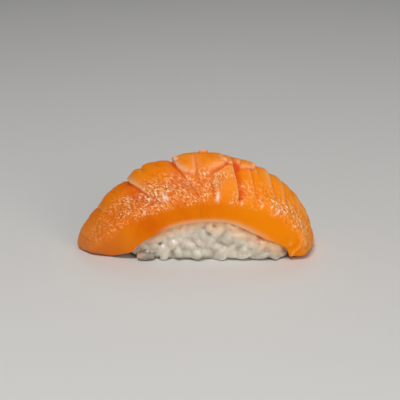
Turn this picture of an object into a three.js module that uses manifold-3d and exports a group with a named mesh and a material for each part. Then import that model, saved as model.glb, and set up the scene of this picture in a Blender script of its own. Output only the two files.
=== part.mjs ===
// Salmon nigiri: a scored slice of raw salmon draped over a hand-pressed bed of rice.
//
// Millimetres, +Z up. The table is z = 0, the length runs along X with the narrow
// tail of the slice at -X, and the front is at -Y.

import * as THREE from 'three';
import Module from 'manifold-3d';
import { mergeVertices } from 'three/addons/utils/BufferGeometryUtils.js';

const wasm = await Module();
wasm.setup();

// ---------- the slice ----------

const CREST_HEIGHT = 30.3; // top of the smooth arch above the table
const CREST_X = 1.8; // the arch is highest here
const TAIL_REACH = 39.1; // from the highest point to the tail
const HEAD_REACH = 35.4; // from the highest point to the blunt end
const TAIL_ROUNDNESS = 1.69; // exponent of the arch: 2 is an ellipse, less is leaner
const HEAD_ROUNDNESS = 2.0;

const HALF_WIDTH = 13.6;
const TAIL_HALF_WIDTH = 5.0;
const HEAD_HALF_WIDTH = 9.9;
const TAIL_PLAN = [3, 1.7]; // exponents of the outline from above
const HEAD_PLAN = [5, 2];

const SAG = 10.2; // how far the long edges hang below the crest, amid the length
const TAIL_SAG = 5.5;
const HEAD_SAG = 1.9;
const SAG_POWER = 1.9; // 2 is a parabola across the slice

const THICKNESS = 7.4; // over the rice
const TAIL_THICKNESS = 9.0; // where the slice leaves the rice
const HEAD_THICKNESS = 10.3;
const SHOULDERS = [0.08, 0.30]; // share of the length from its middle, between which it thickens
const TAIL_TIP = 6.0; // thickness at the two ends
const HEAD_TIP = 4.6;
const TIP_RUN = 0.16; // share of the length over which it thins to them
const HEEL = 1.5; // how much thicker the slice is where its tail comes down on the table
const HEEL_PLACE = 0.12; // shares of the length
const HEEL_WIDTH = 0.06;
const HEAD_SHEAR = 0.2; // the blunt end is cut askew: mm along for each mm across
const HEAD_SHEAR_RUN = [0.91, 1]; // shares of the length

const SIDE_ROUNDING = 0.06; // share of the half width that the long edges' rounding takes
const TOP_ROUNDING = 0.14; // shares of the thickness
const BOTTOM_ROUNDING = 0.14;
const END_ROUNDING = 3.0; // mm along the slice
const END_FACE = 0.6; // share of the section that the flat end keeps
const TABLE_SHARE = 0.2; // below this share of the crest's height, what hangs comes to rest gently

// The knife's cuts: [mm from the middle of the length, height of the step on the front
// slope, its height over the crest, side that opens (1: the flake to the right lifts its
// edge, -1: the flake to the left does), width of the cut's floor, lift of the flake to
// the right of the cut].
const CUTS = [
  [-46.5, 0.15, 0.3, 1, 0.3, -0.35],
  [-37.1, 0.15, 0.4, 1, 0.3, 0.3],
  [-23.5, 1.6, 1.3, 1, 1.2, 1.4],
  [-8.5, 1.8, 1.8, 1, 1.2, 0.0],
  [7.8, 2.0, 0.2, -1, 2.6, -0.3],
  [14.4, 0.4, 0.1, -1, 0.4, -0.2],
  [17.2, 0.0, 0.8, -1, 0.4, -0.2],
  [21.7, 1.5, 1.4, -1, 0.9, 0.1],
  [26.8, 0.8, 0.7, -1, 0.6, 0.1],
  [31.1, 0.6, 0.3, -1, 0.5, 0.0],
  [35.4, 0.5, 0.5, -1, 0.5, -0.1],
  [40.0, 0.5, 0.5, -1, 0.5, 0.0],
  [44.7, 0.4, 0.3, -1, 0.5, 0.0],
];
// Creases in the flakes: [mm from the middle of the length, depth over the crest, width].
const CREASES = [
  [-36.5, 0.8, 2.6],
  [-18.7, 0.85, 0.9],
];
const CREASE_FRONT = 0.35; // share of its depth that a crease keeps on the front slope
const CREST_ACROSS = [-0.38, -0.14]; // across the slice, between the front slope and the crest
const CUT_SLANT = 5.4; // how far a cut runs towards the blunt end on its way forwards
const CUT_BEND = 2.6; // exponent of that run
const CUT_START = 0.3; // across the slice, where a cut crosses the length squarely
const SLANT_ENDS = [20, 24]; // mm over which the cuts straighten towards the two ends
const CUT_WIDTH = 0.9; // width of a step
const LIP_ROUNDING = 0.45;
const LIP_DROP = 0.5; // share of its height that the very edge of a flake loses
const FLOOR_DEPTH = 0.55; // of a cut's floor below the foot of its step
const FLOOR_EDGE = 0.3; // half width of the floor's far side
const FLOOR_NARROW = 0.25; // share of its width that a floor keeps at the slice's edge
const FLOOR_WIDE = -0.62; // across the slice, where it has its full width
const EDGE_FADE = 0.88; // across the slice, where the relief begins to run out

// Flakes between the cuts: the outline as [mm along from the middle, mm across], where the
// flake joins the slice, where its free end is, and its height there. The last is a hollow.
const PETALS = [
  {
    outline: [
      [-0.7, 3.5], [6.8, 3], [7.6, 0], [8.7, -3.6], [8.5, -5],
      [6.2, -6.6], [3.9, -7.9], [2.4, -9.1], [0.6, -9.6], [-0.8, -8],
    ],
    joined: [0.5, 3],
    free: [8.5, -4.5],
    height: 0.8,
  },
  {
    outline: [[5, 4.5], [6.5, -4.4], [9.2, -5], [12.6, -4.1], [13, -2], [12.8, 4.5]],
    joined: [4, 1],
    free: [12, -2],
    height: 0.45,
  },
  {
    outline: [
      [12.9, 4], [12.8, 0], [13, -3.8], [14.2, -4],
      [15.8, -3.3], [17.1, -2.4], [17.5, -0.6], [17.4, 4.5],
    ],
    joined: [9, 1],
    free: [17.5, -1],
    height: 0.4,
  },
  {
    outline: [[-7.2, -1.6], [-1.2, -1.6], [-1.1, -6.9], [-1.9, -8.2], [-4.6, -6.9], [-7.4, -4.3]],
    joined: [-4, 0],
    free: [-2, -7.5],
    height: 0.5,
  },
  {
    outline: [[9.6, -5.6], [17.6, -14], [6.3, -14], [5.6, -12.2], [5, -10.5], [4.9, -8.8]],
    joined: [13, -9],
    free: [5, -11],
    height: 0.6,
  },
  {
    outline: [[-0.2, 0.2], [1.2, -0.2], [2.6, 0.3], [2.8, 1.8], [1.4, 2.6], [0, 1.9]],
    joined: [1.4, 3.4],
    free: [1.3, 0.8],
    height: 0.5,
  },
  {
    outline: [[-1.2, -9.3], [1, -10.1], [4.4, -9.4], [5.3, -12.2], [5.8, -14], [-0.4, -14], [-0.8, -11.8]],
    joined: [2, -8],
    free: [2, -9],
    height: -0.7,
  },
];
const PETAL_EDGE = 1.2; // half width of the step at a petal's edge
const PETAL_GROOVE = 0.25; // share of its height that the cut round a petal goes deeper
const PETAL_GROOVE_PLACE = 1.4; // mm outside the petal
const PETAL_GROOVE_WIDTH = 1.1;

const RING_STEP = 3.2; // along the slice, between the sections of its skin
const PETAL_RING_STEP = 1.15;
const PETAL_RUN = [-9, 18]; // mm from the middle, between which the petals lie
const TOP_STEPS = 26; // across the top, and across the underside
const UNDER_STEPS = 6;
const FRONT_SHARE = 0.25; // how much closer together they are on the front slope
const CORNER_STEPS = 3;

// ---------- the rice ----------

const RICE_X = 4.4;
const RICE_HALF_LENGTH = 26.6;
const RICE_HALF_WIDTH = 11.9; // of the bare core
const RICE_TUCK = 0.9; // how much narrower it is at the table, each side
const RICE_TUCK_HEIGHT = 5;
const RICE_TAIL_PLAN = 3; // exponents of the core's outline from above: 2 is an ellipse
const RICE_HEAD_PLAN = 4;
const RICE_SECTION = 5; // exponent of its section
const LEAST_RICE = 0.6; // height where the slice all but touches the table
const GAP = 0.45; // between the slice and the rice
const CORE_TURNS = [0.49, 0.01]; // of the way round its outline, from one end to the other
const CORE_STATIONS = 20;
const CORE_STEPS = 16;

const GRAIN_LENGTH = 6.8;
const GRAIN_WIDTH = 2.9;
const GRAIN_DEPTH = 2.5;
const GRAIN_STEP = 5.5; // between grains along the side
const ROW_STEP = 2.7; // between rows
const ROWS = 5;
const GRAIN_BURY = 0.35; // how far a grain's middle lies inside the core
const FIRST_ROW = 0.9; // height of the lowest row's middle
const GRAIN_SHIFT = 0.25; // random, in steps along the side
const GRAIN_RISE = 0.5; // random, mm
const GRAIN_TURN = 0.95; // random, radians
const GRAIN_LEAN = 0.22; // random, mm outwards for each mm along the grain
const GRAIN_SCALE = 0.12; // random share of the size
const RICE_SEED = 20;
const TABLE_SIZE = 200; // of the block below the table that cuts the rice flat

const WELD = 1e-4; // mm, points nearer than this are one
const CURVE_DIVISIONS = 800; // for measuring along a curve
const HALVINGS = 40; // in the search for the slice's underside

// ---------- helpers ----------

const { abs, sign, max, min, sqrt, sin, cos, PI } = Math;
const mix = (a, b, t) => a + (b - a) * t;
const smooth = (a, b, x) => THREE.MathUtils.smoothstep((x - a) / (b - a), 0, 1);
const bell = (distance, width) => Math.exp(-((distance / width) ** 2));

function solidFrom(geometry) {
  const bare = geometry.clone();
  bare.deleteAttribute('normal');
  bare.deleteAttribute('uv');
  const merged = mergeVertices(bare, WELD);
  return new wasm.Manifold(new wasm.Mesh({
    numProp: 3,
    vertProperties: new Float32Array(merged.attributes.position.array),
    triVerts: new Uint32Array(merged.index.array),
  }));
}

function geometryFrom(solid) {
  const mesh = solid.getMesh();
  const geometry = new THREE.BufferGeometry();
  geometry.setAttribute('position', new THREE.BufferAttribute(mesh.vertProperties, 3));
  geometry.setIndex(new THREE.BufferAttribute(mesh.triVerts, 1));
  geometry.computeVertexNormals();
  return geometry;
}

// A closed skin through rings of equally many points, with a fan over each end.
function skinOver(rings) {
  const points = rings.flat();
  const around = rings[0].length;
  const faces = [];
  for (let i = 0; i < rings.length - 1; i++) {
    for (let j = 0; j < around; j++) {
      const a = i * around + j;
      const b = i * around + (j + 1) % around;
      faces.push(a, b, b + around, a, b + around, a + around);
    }
  }
  const last = (rings.length - 1) * around;
  for (const [start, turn] of [[0, 0], [last, 1]]) {
    const middle = new THREE.Vector3();
    for (let j = 0; j < around; j++) middle.addScaledVector(points[start + j], 1 / around);
    points.push(middle);
    for (let j = 0; j < around; j++) {
      const a = start + j;
      const b = start + (j + 1) % around;
      faces.push(points.length - 1, turn ? a : b, turn ? b : a);
    }
  }
  const geometry = new THREE.BufferGeometry().setFromPoints(points);
  geometry.setIndex(faces);
  return geometry;
}

// ---------- the shape of the slice ----------

class Crest extends THREE.Curve {
  getPoint(t) {
    const across = -cos(PI * t);
    const reach = across < 0 ? TAIL_REACH : HEAD_REACH;
    const power = 2 / (across < 0 ? TAIL_ROUNDNESS : HEAD_ROUNDNESS);
    const x = CREST_X + reach * sign(across) * abs(across) ** power;
    return new THREE.Vector3(x, 0, CREST_HEIGHT * abs(sin(PI * t)) ** power);
  }
}
const crest = new Crest();
crest.arcLengthDivisions = CURVE_DIVISIONS;
const LENGTH = crest.getLength();

function halfWidth(s) {
  const isTail = s < LENGTH / 2;
  const [power, root] = isTail ? TAIL_PLAN : HEAD_PLAN;
  const fullness = (1 - abs(2 * s / LENGTH - 1) ** power) ** (1 / root);
  return mix(isTail ? TAIL_HALF_WIDTH : HEAD_HALF_WIDTH, HALF_WIDTH, fullness);
}

function sag(s) {
  const end = min(s, LENGTH - s) / (LENGTH / 2);
  return mix(s < LENGTH / 2 ? TAIL_SAG : HEAD_SAG, SAG, smooth(0, 1, end));
}

function thickness(s) {
  const isTail = s < LENGTH / 2;
  const side = isTail ? TAIL_THICKNESS : HEAD_THICKNESS;
  const body = mix(THICKNESS, side, smooth(...SHOULDERS, abs(s / LENGTH - 0.5)));
  const heel = HEEL * bell(s / LENGTH - HEEL_PLACE, HEEL_WIDTH);
  const tip = isTail ? TAIL_TIP : HEAD_TIP;
  return mix(tip, body, smooth(0, TIP_RUN, min(s, LENGTH - s) / LENGTH)) + heel;
}

// 1 on the floor of a cut and 0 beyond it.
function cutFloor(distance, width) {
  return smooth(width + FLOOR_EDGE, width - FLOOR_EDGE, distance);
}

// How far the slanted cuts raise or sink the skin.
function flakeHeight(along, across) {
  const next = CUTS.findIndex(([place]) => along < place);
  const k = next < 0 ? CUTS.length : next;
  const [from, frontFrom, crestFrom, openFrom, floorFrom, lift] = CUTS[k - 1] ?? [-LENGTH / 2, 0, 0, 0, 0, 0];
  const [to, frontTo, crestTo, openTo, floorTo] = CUTS[k] ?? [LENGTH / 2, 0, 0, 0, 0];
  const crestShare = smooth(...CREST_ACROSS, across);
  const stepFrom = mix(frontFrom, crestFrom, crestShare);
  const stepTo = mix(frontTo, crestTo, crestShare);
  const share = (along - from) / (to - from);
  const left = openFrom * stepFrom / 2 * (1 - share);
  const right = -openTo * stepTo / 2 * share;
  const lip = (distance) => 1 - LIP_DROP * bell(distance, LIP_ROUNDING);
  const raised = max(left, 0) * lip(along - from) + max(right, 0) * lip(to - along);
  const narrow = mix(FLOOR_NARROW, 1, smooth(-1, FLOOR_WIDE, across));
  const floors = (openFrom < 0 ? min(stepFrom, 1) * cutFloor(along - from, floorFrom * narrow) : 0)
    + (openTo > 0 ? min(stepTo, 1) * cutFloor(to - along, floorTo * narrow) : 0);
  let creases = 0;
  for (const [place, deep, width] of CREASES) {
    creases += deep * bell(along - place, width) * mix(CREASE_FRONT, 1, crestShare);
  }
  const hump = lift * 4 * share * (1 - share);
  return raised + min(left, 0) + min(right, 0) + hump - creases - FLOOR_DEPTH * floors;
}

// Distance to a closed outline, negative inside it.
function outlineDistance(outline, x, y) {
  let nearest = Infinity;
  let isInside = false;
  outline.forEach(([ax, ay], i) => {
    const [bx, by] = outline[(i + 1) % outline.length];
    const [dx, dy] = [bx - ax, by - ay];
    const share = THREE.MathUtils.clamp(((x - ax) * dx + (y - ay) * dy) / (dx * dx + dy * dy), 0, 1);
    nearest = min(nearest, Math.hypot(x - ax - share * dx, y - ay - share * dy));
    if ((ay > y) !== (by > y) && x < ax + (y - ay) / dy * dx) isInside = !isInside;
  });
  return isInside ? -nearest : nearest;
}

// How far the petals between the cuts raise or sink the skin.
function petalHeight(along, y) {
  let total = 0;
  for (const { outline, joined, free, height } of PETALS) {
    const distance = outlineDistance(outline, along, y);
    const inside = smooth(PETAL_EDGE, -PETAL_EDGE, distance);
    if (height < 0) {
      total += height * inside;
      continue;
    }
    const [runX, runY] = [free[0] - joined[0], free[1] - joined[1]];
    const run = ((along - joined[0]) * runX + (y - joined[1]) * runY) / (runX * runX + runY * runY);
    const groove = PETAL_GROOVE * bell(distance - PETAL_GROOVE_PLACE, PETAL_GROOVE_WIDTH);
    total += height * smooth(0, 1, run) * (inside - groove);
  }
  return total;
}

// A point of the slice: s mm from the tail, across -1 (front) to 1 (back) and
// depth 0 (top skin) to 1 (underside). Grow widens it by that much all over.
function slicePoint(s, across, depth, relief = 0, grow = 0) {
  const u = THREE.MathUtils.clamp(s / LENGTH, 0, 1);
  const p = crest.getPointAt(u);
  const t = crest.getTangentAt(u);
  const half = halfWidth(u * LENGTH);
  p.y = (half + grow) * across;
  const fall = sag(u * LENGTH) * abs(p.y / half) ** SAG_POWER;
  const down = fall + depth * thickness(u * LENGTH) - relief + grow * (2 * depth - 1);
  const share = 1 - t.x * down / max(p.z, WELD);
  p.x += t.z * down + HEAD_SHEAR * smooth(...HEAD_SHEAR_RUN, u) * p.y;
  p.z *= share > TABLE_SHARE ? share : TABLE_SHARE * Math.exp(share / TABLE_SHARE - 1);
  return p;
}

// The section as [across, depth]: over the top to the front, back underneath.
function sectionLoop() {
  const loop = [];
  const flat = 1 - SIDE_ROUNDING;
  const side = [TOP_ROUNDING, 0.5, 1 - BOTTOM_ROUNDING];
  const corner = (place) => {
    for (let i = 1; i < CORNER_STEPS; i++) {
      const angle = i / CORNER_STEPS * PI / 2;
      loop.push(place(sin(angle), cos(angle)));
    }
  };
  for (let i = 0; i <= TOP_STEPS; i++) {
    const even = 1 - 2 * i / TOP_STEPS;
    loop.push([flat * (even - FRONT_SHARE * (1 - even * even)), 0]);
  }
  corner((a, b) => [-flat - SIDE_ROUNDING * a, TOP_ROUNDING * (1 - b)]);
  for (const depth of side) loop.push([-1, depth]);
  corner((a, b) => [-flat - SIDE_ROUNDING * b, 1 - BOTTOM_ROUNDING * (1 - a)]);
  for (let i = 0; i <= UNDER_STEPS; i++) loop.push([flat * (2 * i / UNDER_STEPS - 1), 1]);
  corner((a, b) => [flat + SIDE_ROUNDING * a, 1 - BOTTOM_ROUNDING * (1 - b)]);
  for (const depth of side.toReversed()) loop.push([1, depth]);
  corner((a, b) => [flat + SIDE_ROUNDING * b, TOP_ROUNDING * (1 - a)]);
  return loop;
}

// How far a cut has run along the slice where it is at this place across it.
function slant(across) {
  const forwards = CUT_START - across;
  return CUT_SLANT * sign(forwards) * abs(forwards) ** CUT_BEND;
}

// Rings every few mm, closer where the petals are, and a pair of them at each cut.
function ringPlaces() {
  const edges = [0, ...CUTS.map(([place]) => place + LENGTH / 2), LENGTH];
  const places = [];
  for (let k = 0; k < edges.length - 1; k++) {
    const from = edges[k] + (k > 0 ? CUT_WIDTH / 2 : 0);
    const to = edges[k + 1] - (k < edges.length - 2 ? CUT_WIDTH / 2 : 0);
    const middle = (from + to - LENGTH) / 2;
    const hasPetals = middle > PETAL_RUN[0] && middle < PETAL_RUN[1];
    const count = max(2, Math.ceil((to - from) / (hasPetals ? PETAL_RING_STEP : RING_STEP)));
    for (let i = 0; i <= count; i++) places.push(mix(from, to, i / count));
  }
  return places;
}

function sliceGeometry(grow = 0) {
  const loop = sectionLoop();
  const rings = ringPlaces().map((place) => {
    const slantShare = smooth(0, SLANT_ENDS[0], place) * smooth(0, SLANT_ENDS[1], LENGTH - place);
    const end = min(min(place, LENGTH - place) / END_ROUNDING, 1);
    const shrink = mix(END_FACE, 1, sqrt(1 - (1 - end) ** 2));
    const middle = slicePoint(place, 0, 0.5);
    return loop.map(([across, depth]) => {
      const s = place + slantShare * slant(across);
      const skin = smooth(1, EDGE_FADE, abs(across)) * smooth(TOP_ROUNDING, 0, depth);
      const flakes = flakeHeight(place - LENGTH / 2, across);
      const petals = petalHeight(s - LENGTH / 2, halfWidth(s) * across);
      const relief = grow ? 0 : skin * (flakes + petals);
      return slicePoint(s, across, depth, relief, grow).lerp(middle, 1 - shrink);
    });
  });
  return skinOver(rings);
}

// ---------- the shape of the rice ----------

// Height of the slice's underside over a point of the table.
function undersideHeight(x, y) {
  let low = 0;
  let high = LENGTH;
  let p;
  for (let halving = 0; halving < HALVINGS; halving++) {
    const s = (low + high) / 2;
    p = slicePoint(s, min(abs(y) / halfWidth(s), 1), 1);
    if (p.x < x) {
      low = s;
    } else {
      high = s;
    }
  }
  return p.z;
}

// The core's outline from above.
class Outline extends THREE.Curve {
  getPoint(t) {
    const power = 2 / (cos(2 * PI * t) < 0 ? RICE_TAIL_PLAN : RICE_HEAD_PLAN);
    const plan = (value) => sign(value) * abs(value) ** power;
    const x = RICE_X + RICE_HALF_LENGTH * plan(cos(2 * PI * t));
    return new THREE.Vector3(x, RICE_HALF_WIDTH * plan(sin(2 * PI * t)), 0);
  }
}
const outline = new Outline();
outline.arcLengthDivisions = CURVE_DIVISIONS;

// How much narrower the rice is at this height, as a share of its width.
function tuck(z) {
  return 1 - RICE_TUCK / RICE_HALF_WIDTH * smooth(RICE_TUCK_HEIGHT, 0, z);
}

function coreGeometry() {
  const rings = [];
  for (let i = 0; i <= CORE_STATIONS; i++) {
    const edge = outline.getPoint(mix(...CORE_TURNS, i / CORE_STATIONS));
    const ring = [];
    for (let j = 0; j <= CORE_STEPS; j++) {
      const turn = cos(PI * j / CORE_STEPS);
      const dome = (1 - abs(turn) ** RICE_SECTION) ** (1 / RICE_SECTION);
      const room = undersideHeight(edge.x, edge.y * turn) - GAP;
      const z = max(room, LEAST_RICE) * dome;
      ring.push(new THREE.Vector3(edge.x, edge.y * turn * tuck(z), z));
    }
    rings.push(ring);
  }
  return skinOver(rings);
}

// Random numbers from 0 to 1, the same ones each time.
function seededRandom(seed) {
  let state = seed;
  return () => {
    state = (state * 1664525 + 1013904223) % 4294967296;
    return state / 4294967296;
  };
}

// Grains lie along the core's side in rows, each turned at random within its surface.
function grainGeometries() {
  const random = seededRandom(RICE_SEED);
  const spread = (amount) => amount * (2 * random() - 1);
  const grain = new THREE.SphereGeometry(1, 5, 4);
  grain.rotateZ(PI / 2);
  const columns = Math.round(outline.getLength() / GRAIN_STEP);
  const grains = [];
  for (let row = 0; row < ROWS; row++) {
    for (let column = 0; column < columns; column++) {
      const u = THREE.MathUtils.euclideanModulo((column + row / 2 + spread(GRAIN_SHIFT)) / columns, 1);
      const place = outline.getPointAt(u);
      const along = outline.getTangentAt(u);
      const out = new THREE.Vector3(along.y, -along.x, 0);
      place.z = FIRST_ROW + ROW_STEP * row + spread(GRAIN_RISE);
      const angle = spread(GRAIN_TURN);
      const scale = 1 + spread(GRAIN_SCALE);
      const lean = spread(GRAIN_LEAN);
      if (undersideHeight(place.x, place.y) - GAP - place.z < GRAIN_DEPTH / 2) continue;
      const axis = along.clone().multiplyScalar(cos(angle)).addScaledVector(out, lean);
      axis.z = sin(angle);
      axis.normalize();
      const side = new THREE.Vector3().crossVectors(out, axis).normalize();
      const face = new THREE.Vector3().crossVectors(axis, side);
      place.addScaledVector(out, -GRAIN_BURY);
      place.y *= tuck(place.z);
      const pose = new THREE.Matrix4().makeBasis(
        axis.multiplyScalar(scale * GRAIN_LENGTH / 2),
        side.multiplyScalar(scale * GRAIN_WIDTH / 2),
        face.multiplyScalar(scale * GRAIN_DEPTH / 2),
      );
      pose.setPosition(place);
      grains.push(grain.clone().applyMatrix4(pose));
    }
  }
  return grains;
}

function riceGeometry() {
  let heap = solidFrom(coreGeometry());
  for (const grain of grainGeometries()) heap = heap.add(solidFrom(grain));
  const table = new THREE.BoxGeometry(TABLE_SIZE, TABLE_SIZE, TABLE_SIZE);
  table.translate(0, 0, -TABLE_SIZE / 2);
  heap = heap.subtract(solidFrom(table));
  heap = heap.subtract(solidFrom(sliceGeometry(GAP)));
  const pieces = heap.decompose().sort((a, b) => b.volume() - a.volume());
  return geometryFrom(pieces[0]);
}

// ---------- the nigiri ----------

const salmonFlesh = new THREE.MeshStandardMaterial({ color: 0xe8760c, roughness: 0.3, metalness: 0 });
const cookedRice = new THREE.MeshStandardMaterial({ color: 0xd8cdb8, roughness: 0.45, metalness: 0 });

const salmon = new THREE.Mesh(sliceGeometry(), salmonFlesh);
salmon.name = 'salmon';

const rice = new THREE.Mesh(riceGeometry(), cookedRice);
rice.name = 'rice';

const nigiri = new THREE.Group();
nigiri.add(salmon, rice);

export default nigiri;
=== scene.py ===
"""Salmon nigiri: a scored slice of raw salmon draped over a hand-pressed bed of rice.

Sizes are millimetres until a mesh is made, which is in metres. X runs along the piece,
with the narrow tail of the slice at -X. The front is at -Y and the table is z = 0.
"""

import math

import bmesh
import bpy
import numpy as np
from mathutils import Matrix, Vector, kdtree, noise


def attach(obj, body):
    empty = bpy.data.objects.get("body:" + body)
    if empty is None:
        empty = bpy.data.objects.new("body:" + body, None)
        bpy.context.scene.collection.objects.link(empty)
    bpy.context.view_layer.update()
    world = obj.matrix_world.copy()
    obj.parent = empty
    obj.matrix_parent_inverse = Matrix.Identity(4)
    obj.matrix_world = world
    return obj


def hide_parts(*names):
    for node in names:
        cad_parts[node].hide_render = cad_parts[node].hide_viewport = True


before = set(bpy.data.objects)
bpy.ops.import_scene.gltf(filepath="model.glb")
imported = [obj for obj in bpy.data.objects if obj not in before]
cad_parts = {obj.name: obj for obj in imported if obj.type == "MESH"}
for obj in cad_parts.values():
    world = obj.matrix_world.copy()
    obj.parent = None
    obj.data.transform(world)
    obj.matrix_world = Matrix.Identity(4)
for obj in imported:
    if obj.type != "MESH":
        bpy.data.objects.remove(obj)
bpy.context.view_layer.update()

MM = 0.001

# ---------------------------------------------------------------- the slice: sizes

CREST_HEIGHT = 30.3  # top of the smooth arch above the table
CREST_X = 1.8  # the arch is highest here
TAIL_REACH = 39.1  # from the highest point to the tail
HEAD_REACH = 35.4  # from the highest point to the blunt end
TAIL_ROUNDNESS = 1.69  # exponent of the arch: 2 is an ellipse, less is leaner
HEAD_ROUNDNESS = 2.0

HALF_WIDTH = 13.6  # amid the length
TAIL_HALF_WIDTH = 5.0
HEAD_HALF_WIDTH = 9.9
TAIL_TAPER = (3, 1.7)  # exponents of the outline from above, towards each end
HEAD_TAPER = (5, 2)

SAG = 10.2  # how far the long edges hang below the crest, amid the length
TAIL_SAG = 5.5
HEAD_SAG = 1.9
SAG_POWER = 1.9  # 2 is a parabola across the slice

THICKNESS = 7.4  # over the rice
TAIL_THICKNESS = 9.0  # where the slice leaves the rice
HEAD_THICKNESS = 10.3
TAIL_TIP = 6.0  # thickness at the two ends
HEAD_TIP = 4.6
BODY_RUN = (0.08, 0.30)  # shares of the length from its middle, over which it thickens
TIP_RUN = (0, 0.16)  # shares of the length from each end, over which it thins
HEEL = 1.5  # how much thicker the slice is where its tail comes down on the table
HEEL_PLACE = 0.12  # share of the length from the tail
HEEL_WIDTH = 0.06
HEAD_SHEAR = 0.2  # the blunt end is cut askew: mm along for each mm across
HEAD_SHEAR_RUN = (0.91, 1.0)  # shares of the length over which that sets in
SIDE_ROUNDING = 0.09  # share of the half width that the long edges' rounding takes
TOP_ROUNDING = 0.24  # shares of the thickness
BOTTOM_ROUNDING = 0.10
END_ROUNDING = 3.0  # mm along the slice
END_FACE = 0.6  # share of the section that the flat end keeps
TABLE_SHARE = 0.2  # below this share of the crest's height, what hangs comes to rest gently

# The knife's cuts run slantwise over the slice. Each one: mm from the middle of the length,
# height of the step on the front slope and over the crest, side that opens (1: the flake to
# the right lifts its edge, -1: the flake to the left does), width of the cut's floor, lift of
# the flake to the right.
CUTS = np.array([
    (-46.5, 0.15, 0.3, 1, 0.3, -0.35),
    (-37.1, 0.15, 0.4, 1, 0.3, 0.3),
    (-23.5, 0.85, 1.3, 1, 1.3, 1.4),
    (-8.5, 0.8, 1.8, 1, 1.0, 0.0),
    (9.7, 2.0, 0.2, -1, 2.8, -0.2),
    (15.4, 0.3, 0.1, -1, 0.4, -0.2),
    (17.5, 0.0, 0.8, -1, 0.4, -0.2),
    (21.7, 1.5, 1.4, -1, 0.9, 0.1),
    (26.8, 0.7, 0.7, -1, 0.6, 0.1),
    (31.4, 0.6, 0.4, -1, 0.6, 0.1),
    (35.1, 0.7, 0.6, -1, 0.6, 0.1),
    (40.3, 0.5, 0.6, -1, 0.6, 0.1),
    (44.5, 0.6, 0.4, -1, 0.6, 0.1),
])
# Creases: mm from the middle, depth over the crest, width.
CREASES = (
    (-42.0, 0.2, 0.55),
    (-36.5, 0.8, 2.6),
    (-30.5, 0.15, 0.55),
    (-18.7, 0.85, 0.9),
    (-13.9, 0.25, 0.6),
)
CREASE_FRONT = 0.35  # share of its depth that a crease keeps on the front slope
CUT_SLANT = 5.4  # how far a cut runs towards the blunt end on its way forwards
CUT_BEND = 2.6  # exponent of that run
CUT_START = 0.3  # across the slice, where a cut crosses the length squarely
CUT_RUN_IN = (20, 24)  # mm from the tail and from the blunt end, over which the slant sets in
# The widest cut runs straighter, and those near it a little.
STRAIGHTEST = 9.7  # mm from the middle
STRAIGHT_RUN = 8.0  # mm over which that fades
STRAIGHTENING = 0.45  # share of the slant that it does without
# The cuts stray from their lines: by how many mm, size of the bends, seed of the noise.
WANDER = ((0.35, 6.0, 1), (0.22, 2.2, 2))
CREST_ACROSS = (-0.38, -0.14)  # shares of the half width, from the front slope to the crest
# A lifted edge is rounded: mm, and share of its height that the very edge loses, first for
# edges that face the tail, then for those that face the blunt end.
LIP_ROUNDING = (2.2, 0.6)
LIP_DROP = (0.85, 0.5)
LIP_REACH = 0.3  # it leans this far over the cut beside it
LEAN_WIDTH = 0.8  # mm over which that dies away
LIP_WIDTH = 0.7  # mm over which its painted glow does
LIP_FRONT = 0.25  # share of that painted glow that is left low on the front slope
LIP_FRONT_RUN = (-0.75, -0.4)  # shares of the half width
LIGHT_AND_SHADE_POWER = 2.5  # how closely a whole flake's painted light and shade keep to its edge
FLOOR_DEPTH = 0.45  # the cut's floor below the foot of its step
FLOOR_EDGE = (0.8, -0.4)  # mm beyond its width where a floor ends, and starts to rise
FLOOR_NARROW = 0.25  # share of its width that a floor keeps at the front edge
FLOOR_NARROW_RUN = (-1, -0.82)  # shares of the half width
CUT_SHADE_FADE = (0.9, 1.2)  # a floor's painted shade fades from this far off its step to this far past its width
CUT_SHADE_GAIN = 1.6  # how fast a low step reddens
CUT_SHADE_LEAST_STEP = 0.1  # how fast the painted shade under a low step deepens
CUT_SHADE_FACING_TAIL = 0.5  # share of the painted shade where the step faces the tail

# Share of the half width where the relief starts to die away towards each long edge.
FRONT_SHOULDER = 0.88
BACK_SHOULDER = 0.6
TOP_RUN = (0.2, 0)  # shares of the thickness over which it dies away down the sides

LIP_THIN = 2.5  # mm over which a painted glow lies on an edge so thin that light comes through
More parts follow.
